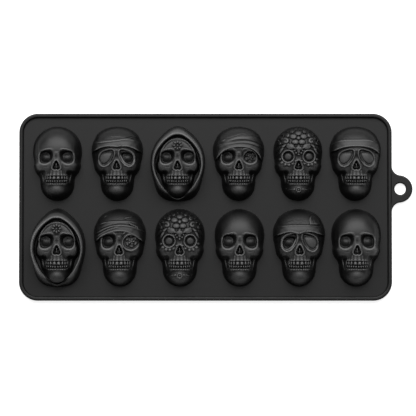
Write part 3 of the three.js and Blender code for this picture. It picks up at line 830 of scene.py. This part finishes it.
press_cup("cup_wrap_1", WRAPPED_OUTLINE, covered(
    one_eyed_face(carved_socket),
    [(-14.6, 0.6), (-13.4, 2.0), (-11.1, 5.1), (-6.5, 8.3), (0, 9.5), (5.0, 9.1), (8.4, 7.9),
     (11.3, 5.2), (13.8, 0.8)],
    ABOVE_THE_CROWN, swept_folds, thick=0.8))
press_cup("cup_wrap_2", WRAPPED_OUTLINE, covered(
    one_eyed_face(carved_patch),
    [(-14.6, 3.2), (-10.6, 6.2), (-6.5, 8.2), (0, 9.4), (6.5, 8.2), (10.6, 5.8), (14.6, 2.6)],
    [(-14.6, 12.6), (-8, 14.9), (0, 15.6), (8, 15.2), (14.6, 12.6)],
    stitched_folds, thick=0.8, cap=0.4))


# The hooded cups
# A skull deep inside a thick hood, in the same rubber. The hood's rolled edge stands as high as
# the face, and runs in under the chin. A small eight-petalled flower is on the forehead.
HOOD_OUTLINE = [
    (0, 1), (0.19, 0.97), (0.38, 0.885), (0.58, 0.755), (0.765, 0.595), (0.9, 0.41), (0.975, 0.23),
    (1.0, 0.05), (0.985, -0.127), (0.935, -0.304), (0.87, -0.48), (0.805, -0.658), (0.69, -0.815),
    (0.49, -0.935), (0.25, -0.987), (0, -1),
]
# In millimetres from the crown to the chin: the hood's rolled edge, and the face inside it
HOOD_ROLL = [
    (0, 17.6), (2.8, 17.1), (5.4, 15.6), (8.1, 13.4), (10.6, 10.5), (12.4, 7.6), (13.6, 4.4), (14.1, 1),
    (14.0, -2.2), (12.9, -6.4), (11.4, -9.6), (9.6, -12.7), (7.5, -15.2), (5.2, -17.4), (2.6, -19.4),
    (0, -20.2),
]
FACE_IN_HOOD = [
    (0, 15.5), (3.4, 14.9), (6.4, 13.1), (9.0, 9.9), (10.6, 6.4), (11.8, 3.0), (12.5, 0.4), (12.3, -2.6),
    (11.0, -5.2), (10.0, -7.5), (9.3, -11), (8.4, -14.2), (6.7, -17.1), (3.8, -19.3), (0, -20.2),
]
HOOD_CREST = 12.6
HOOD_GAP = 3.5
# How far the skull lies back in the hood
SKULL_SET_BACK = 1.0


def eight_petals(x, y, middle_y, size):
    # A ring of petals round a groove and a small button
    angle = np.arctan2(y - middle_y, x)
    radius = np.hypot(x, y - middle_y) / size
    petals = 1.3 * line(radius - 0.66, 0.26) * np.cos(4 * angle) ** 2
    return petals - 0.5 * line(radius - 0.28, 0.12) + 0.6 * np.clip(1 - (radius / 0.2) ** 2, 0, 1)


def hooded(flower_y, flower_size=2.8):
    face_reach = reach_of(both_sides(FACE_IN_HOOD) - (0, CLOTH_DROP))
    roll_reach = reach_of(both_sides(HOOD_ROLL) - (0, CLOTH_DROP))

    def height(x, y, share):
        radius = np.hypot(x, y)
        # the skull ends in a thin brim round the forehead, steep at the top and softer at the chin
        face_share = radius / face_reach(x, y)
        skull = bare_skull(x, y) + eight_petals(x, y, flower_y, flower_size) - SKULL_SET_BACK
        brim = 0.6 * line(face_share - 0.955, 0.02) - 0.5 * line(face_share - 0.9, 0.025)
        skull = skull + brim * ramp(y, -10, -5) * mix(0.4, 1.0, ramp(y, 2, 7))
        power = mix(mix(6, 9, ramp(y, -14, -9)), 40, ramp(y, 3, 8))
        edge = np.sqrt(np.clip(1 - face_share ** power, 0, 1))
        edge = edge * mix(1, round_over(share, y), 0.5 * ramp(y, 2, 12))
        # the hood rounds over outwards from its crest, and falls away inside it
        roll = roll_reach(x, y)
        outline = radius / np.maximum(share, 1e-6)
        outward = np.clip((radius - roll) / np.maximum(outline - roll, 0.1), 0, 1)
        slope = HOOD_CREST * (1 - 0.15 * outward) * np.sqrt(1 - outward ** 1.35)
        hood = slope * fall(roll - radius, 0.4, 1.6)
        # towards the chin it loses its crest and half its height
        under_chin = ramp(-y, 8.5, 18.5) * fall(np.abs(x), 3.0, 12.5)
        hood = (hood + 0.15 * line(radius - roll, 0.7) * (1 - under_chin)) * (1 - 0.5 * under_chin)
        return np.maximum(np.maximum(skull * edge, hood), HOOD_GAP * (share < 0.9))
    return height


press_cup("cup_hood_1", HOOD_OUTLINE, hooded(flower_y=10.3))
press_cup("cup_hood_2", HOOD_OUTLINE, hooded(flower_y=10.7))


# The flowered cups
# Skulls in the manner of sugar skulls: ringed eyes, and flowers, leaves and dots over the forehead.
# All of it is raised a little from the bone, and pressed in the same rubber.
EYE_MIDDLE = (6.0, 3.9)
EYE_RING_RADIUS = 3.5
EYE_RING_HEIGHT = 0.7
EYE_FLOOR = 9.0
EYEBALL_RADIUS = 2.85
EYEBALL_HEIGHT = 2.1


def ringed_eyes(z, x, y):
    # A thin ring round a deep groove, with a flat-topped ball in the middle
    radius = np.hypot(np.abs(x) - EYE_MIDDLE[0], y - EYE_MIDDLE[1])
    ring = EYE_RING_HEIGHT * line(radius - EYE_RING_RADIUS, 0.38)
    z = mix(z + ring, EYE_FLOOR, fall(radius, 2.6, 3.2))
    return z + EYEBALL_HEIGHT * np.clip(1 - (radius / EYEBALL_RADIUS) ** 4, 0, 1) ** 0.6


PETALS = 5


def wide_petals(x, y, middle_y, size):
    # Wide petals round a small button, the first one at the top
    z = 1.2 * mound(x, y, 0, middle_y, 0.4 * size, 0.4 * size, power=0.6)
    for k in range(PETALS):
        angle = math.pi / 2 + 2 * math.pi * k / PETALS
        petal_x, petal_y = 0.98 * size * math.cos(angle), middle_y + 0.92 * size * math.sin(angle)
        z = np.maximum(z, 1.6 * mound(x, y, petal_x, petal_y, 0.66 * size, 0.5 * size, power=0.5))
    return z


def rose(x, y, middle_x, middle_y, size):
    # A round block with one spiral groove
    radius = np.hypot(x - middle_x, y - middle_y) / size
    whorl = 0.45 * np.cos(7 * radius + np.arctan2(y - middle_y, x - middle_x))
    return (1.7 + whorl) * np.clip(1 - radius ** 3, 0, 1)


# Each rose's middle and radius, each leaf's middle, half length and turn, and each dot's middle,
# all on the right side. The left side mirrors them.
ROSES = [
    (7.5, 13.2, 2.6), (11.0, 11.9, 1.5), (6.3, 16.5, 1.6), (3.6, 18.9, 1.5), (9.9, 14.8, 1.4),
    (1.2, 20.2, 1.1), (9.2, 17.4, 1.1), (12.0, 13.9, 1.1), (6.3, 19.1, 1.1),
]
TEMPLE_LEAVES = [(9.9, 7.9, 3.2, 1.0), (11.7, 8.8, 2.3, 1.1), (8.5, 10.4, 1.5, 0.4)]
BROW_DOTS = [(2.3, 7.6), (1.5, 6.3), (2.6, 9.1), (0, 5.4)]
CHIN_DOTS = [(2.6, -14.9), (7.2, -14.6)]
DOTS_UNDER_EYE = 6
DOTS_FROM_EYE = 5.0


def forehead_flowers(x, y):
    ax = np.abs(x)
    z = wide_petals(x, y, middle_y=15.0, size=3.2)
    for place in ROSES:
        z = np.maximum(z, rose(ax, y, *place))
    for middle_x, middle_y, length, turn in TEMPLE_LEAVES:
        z = z + 1.3 * mound(ax, y, middle_x, middle_y, length, 0.75, -turn, 0.6)
    # a broad leaf over each eye, and the ornament between them
    z = z + 1.3 * mound(ax, y, 4.7, 10.1, 2.5, 1.8, 0.15, 0.35)
    z = z + 1.3 * mound(x, y, 0, 8.7, 1.4, 2.8, power=0.6)
    z = z + 0.9 * mound(ax, y, 1.6, 8.9, 1.1, 1.3, power=0.6)
    for middle in BROW_DOTS:
        z = z + 0.9 * mound(ax, y, *middle, 0.55, 0.55, power=0.5)
    # the relief is bolder towards the crown
    return z * (1.15 + 0.25 * ramp(y, 11, 18))


def dots_and_chin(x, y):
    ax = np.abs(x)
    z = 0 * x
    for k in range(DOTS_UNDER_EYE):
        # they run round under each eye towards the nose, and the last two are smaller
        turn = math.radians(-18 - 26 * k)
        size = 0.9 if k < 4 else 0.65
        dot_x = EYE_MIDDLE[0] + DOTS_FROM_EYE * math.cos(turn)
        dot_y = EYE_MIDDLE[1] + DOTS_FROM_EYE * math.sin(turn)
        z = z + 1.2 * mound(ax, y, dot_x, dot_y, size, 0.8 * size, turn, 0.5)
    # a ring with a dot in it on the chin, and dots and a thin line on each side
    z = z + 0.8 * line(np.hypot(x, y + 15.2) - 1.25, 0.3) + 0.7 * mound(x, y, 0, -15.2, 0.5, 0.5, power=0.5)
    for middle in CHIN_DOTS:
        z = z + 0.7 * mound(ax, y, *middle, 0.5, 0.5, power=0.5)
    return z + 0.45 * line(y + 14.6 + 0.02 * x ** 2, 0.25) * ramp(ax, 3.2, 3.8) * fall(ax, 5.6, 6.4)


def flowered_face(x, y):
    z = ringed_eyes(skull_bones(x, y) + forehead_flowers(x, y + CLOTH_DROP) + dots_and_chin(x, y), x, y)
    return z + nose_opening(x, y) + tooth_rows(x, y)


for node in ("cup_flowers_1", "cup_flowers_2"):
    press_cup(node, BARE_OUTLINE, rounded_face(flowered_face))


# The tray sheet
# The flat web between the cups, 2 mm thick, pressed in one shot with them. Each cup's mouth opens
# through it on the underside, with a small radius where the tool's core meets the face.
MOUTH_RADIUS = 0.4
CORNER_RADIUS = 11.0
CORNER_STEPS = 24
EDGE_STEPS = 4


def tray_loop(inset):
    # The tray's edge, anticlockwise from its right end
    high = node_box("tray_sheet")[1]
    radius = CORNER_RADIUS - inset
    points = []
    for corner, (side_x, side_y) in enumerate(((1, 1), (-1, 1), (-1, -1), (1, -1))):
        for i in range(CORNER_STEPS + 1):
            angle = (corner + i / CORNER_STEPS) * math.pi / 2
            x = side_x * (high[0] - CORNER_RADIUS) + radius * math.cos(angle)
            y = side_y * (high[1] - CORNER_RADIUS) + radius * math.sin(angle)
            points.append((x, y))
    return np.array(points)


def plate_with_holes(name, outer_rings, hole_rings):
    # Rings run from the bottom face to the top face. The faces are filled round the holes.
    tool = bmesh.new()

    def wall(rings, outward):
        loops = [[tool.verts.new(Vector(p) * MM) for p in ring] for ring in rings]
        for below, above in zip(loops, loops[1:]):
            for k in range(len(below)):
                n = (k + 1) % len(below)
                quad = (below[k], below[n], above[n], above[k])
                tool.faces.new(quad if outward else quad[::-1]).smooth = True
        return loops[0], loops[-1]

    borders = [wall(outer_rings, True)] + [wall(rings, False) for rings in hole_rings]
    for end, upward in ((0, False), (1, True)):
        loops = [border[end] for border in borders]
        verts = [v for loop in loops for v in loop]
        for triangle in geometry.tessellate_polygon([[v.co for v in loop] for loop in loops]):
            corners = [verts[i] for i in triangle]
            a, b, c = (v.co for v in corners)
            if ((b - a).cross(c - a).z > 0) != upward:
                corners.reverse()
            tool.faces.new(corners)
    mesh = bpy.data.meshes.new(name)
    tool.to_mesh(mesh)
    tool.free()
    return mesh


def lead_in(loop, inward):
    # The lower edge of a wall is rounded: inward at 1, for the tray's own edge, or outward at -1
    return [raised(inset_loop(loop, inward * MOUTH_RADIUS * left), MOUTH_RADIUS * come)
            for come, left in quarter_turn(EDGE_STEPS)]


tray_edge = lead_in(tray_loop(0.0), 1) + [raised(tray_loop(0.0), SHEET_TOP)]
mouth_walls = [lead_in(mouth, -1) + [raised(mouth, SHEET_TOP)] for mouth in mouths]
sheet_mesh = plate_with_holes("tray_sheet_skin", tray_edge, mouth_walls)
stand_for("tray_sheet", sheet_mesh)


# The rim
# A rounded bead round the edge of the tray, pressed in one with it, stiffens the thin sheet.
# Its inner side drops steeply to a narrow foot on the flat of the tray.
RIM_WIDTH = 2.6
RIM_FOOT = 0.15
RIM_OUTER_RADIUS = 0.85
RIM_INNER_RADIUS = 0.75
RIM_STEPS = 6
# The outer side is straight up to this share of the rim's height
RIM_STRAIGHT = 0.45
# The inner side curves down towards this share of it
RIM_CURVE_END = 0.12


def rim_section():
    # From the outer foot over the top to the inner foot: how far in, and how far above the sheet
    low, high = node_box("rim_bead")
    height = high[2] - low[2]
    points = [(0.0, 0.0), (0.0, RIM_STRAIGHT * height)]
    for t in np.linspace(0.15, 1, RIM_STEPS):
        angle = t * math.pi / 2
        up = RIM_STRAIGHT + (1 - RIM_STRAIGHT) * math.sin(angle)
        points.append((RIM_OUTER_RADIUS * (1 - math.cos(angle)), height * up))
    for t in np.linspace(0, 0.92, RIM_STEPS + 1):
        angle = t * math.pi / 2
        up = RIM_CURVE_END + (1 - RIM_CURVE_END) * math.cos(angle)
        points.append((RIM_WIDTH - RIM_INNER_RADIUS * (1 - math.sin(angle)) - RIM_FOOT, height * up))
    points.append((RIM_WIDTH, 0.0))
    return points


rim_points = [raised(tray_loop(inward), SHEET_TOP + up) for inward, up in rim_section()[::-1]]
rim_rings = np.arange(len(rim_points) * len(rim_points[0])).reshape(len(rim_points), -1)
rim_faces = [ring_quads(ring, after) for ring, after in zip(rim_rings, np.roll(rim_rings, -1, axis=0))]
rim_mesh = skin_mesh("rim_bead_skin", rim_points, rim_faces)
stand_for("rim_bead", rim_mesh)


# The hanging tab
# A flat lobe with a round hole to hang the mould by, of the same silicone. It is faired into the
# end of the tray by two hollow fillets, and its edges are softly rounded.
TAB_REACH = 12.05
TAB_RADIUS = 7.95
TAB_FILLET = 5.5
TAB_HOLE_RADIUS = 3.35
TAB_HOLE_SHIFT = 0.85
TAB_EDGE_RADIUS = 0.75
TAB_STEPS = 28
HOLE_STEPS = 48


def arc(centre, radius, start, end, steps):
    angles = np.linspace(start, end, steps + 1)
    return np.column_stack([centre[0] + radius * np.cos(angles), centre[1] + radius * np.sin(angles)])


def tab_loop(inset):
    # The lobe's edge between its two fillets, and the middle of its hole
    low, high = node_box("hanging_tab")
    middle_y = (low[1] + high[1]) / 2
    edge = low[0]
    centre_x = edge + TAB_REACH - TAB_RADIUS
    fillet_x = edge + TAB_FILLET
    rise = math.sqrt((TAB_RADIUS + TAB_FILLET) ** 2 - (fillet_x - centre_x) ** 2)
    meets = math.atan2(rise, fillet_x - centre_x)
    lower = arc((fillet_x, middle_y - rise), TAB_FILLET + inset, math.pi, math.pi - meets, TAB_STEPS // 2)
    lobe = arc((centre_x, middle_y), TAB_RADIUS - inset, -meets, meets, TAB_STEPS)
    upper = arc((fillet_x, middle_y + rise), TAB_FILLET + inset, math.pi + meets, math.pi, TAB_STEPS // 2)
    loop = np.vstack([lower, lobe[1:-1], upper])
    loop[0, 0] = loop[-1, 0] = edge
    return loop, (centre_x + TAB_HOLE_SHIFT, middle_y)


def hole_loop(inset):
    return arc(tab_loop(0)[1], TAB_HOLE_RADIUS + inset, 0, 2 * math.pi, HOLE_STEPS)[:-1]


tab_top = node_box("hanging_tab")[1][2]


def rounded_wall(loop_at):
    # Rings up a wall that is rounded at its top edge, and half as much at its lower one
    upper, lower = TAB_EDGE_RADIUS, TAB_EDGE_RADIUS / 2
    turn = quarter_turn(EDGE_STEPS)
    below = [raised(loop_at(lower * left), lower * come) for come, left in turn]
    return below + [raised(loop_at(upper * come), tab_top - upper * left) for come, left in turn]


tab_walls = rounded_wall(lambda inset: tab_loop(inset)[0])
hole_walls = rounded_wall(hole_loop)
tab_mesh = plate_with_holes("hanging_tab_skin", tab_walls, [hole_walls])
stand_for("hanging_tab", tab_mesh)


# The floor and the light
# A table of matte white card, with a wide soft light over the top edge of the picture and a weak
# one overhead. The card glows only where the camera or a mirroring surface sees it.
FLOOR_WHITE = 0xF4F4F4
FLOOR_SIZE = 6.0
FLOOR_GAP = 0.0002
# How bright the table looks to the camera, and how much of that is mirrored in the rubber
TABLE_GLOW = 0.8
TABLE_SHEEN = 0.3

bpy.ops.mesh.primitive_plane_add(size=FLOOR_SIZE, location=(0, 0, -FLOOR_GAP))
floor = bpy.context.object
floor.name = "white_table"
table = bpy.data.materials.new("matte_white_card")
table.use_nodes = True
table.node_tree.nodes.clear()
card = add_node(table, "BsdfDiffuse", Color=linear(FLOOR_WHITE))
glow = add_node(table, "Emission", Strength=TABLE_GLOW)
seen = add_node(table, "LightPath")
mirrored = add_node(table, "Math", {0: (seen, "Is Glossy Ray")}, operation="MULTIPLY")
mirrored.inputs[1].default_value = TABLE_SHEEN
seen_or_mirrored = add_node(table, "Math", {0: (seen, "Is Camera Ray"), 1: (mirrored, 0)},
                            operation="MAXIMUM")
lit = add_node(table, "Math", {0: (seen_or_mirrored, 0), 1: (seen, "Is Transmission Ray")},
               operation="MAXIMUM")
glowing_card = add_node(table, "AddShader", {0: (card, 0), 1: (glow, 0)})
surface = add_node(table, "MixShader", {0: (lit, 0), 1: (card, 0), 2: (glowing_card, 0)})
add_node(table, "OutputMaterial", {"Surface": (surface, 0)})
floor.data.materials.append(table)


def soft_light(name, location, size, power):
    # A wide soft lamp that points at the middle of the tray
    data = bpy.data.lights.new(name, "AREA")
    data.shape = "RECTANGLE"
    data.size, data.size_y = size
    data.energy = power
    lamp = new_object(name, data)
    lamp.location = location
    lamp.rotation_euler = (-Vector(location)).to_track_quat("-Z", "Y").to_euler()


soft_light("window", location=(0, 1.2, 1.35), size=(2.2, 1.3), power=36)
soft_light("overhead", location=(0, 0.35, 1.9), size=(2.0, 1.4), power=6)

ROOM_LIGHT = 0.06
world = bpy.data.worlds.new("studio")
bpy.context.scene.world = world
world.use_nodes = True
room = world.node_tree.nodes["Background"]
room.inputs["Color"].default_value = (1, 1, 1, 1)
room.inputs["Strength"].default_value = ROOM_LIGHT
bpy.context.scene.view_settings.view_transform = "Standard"
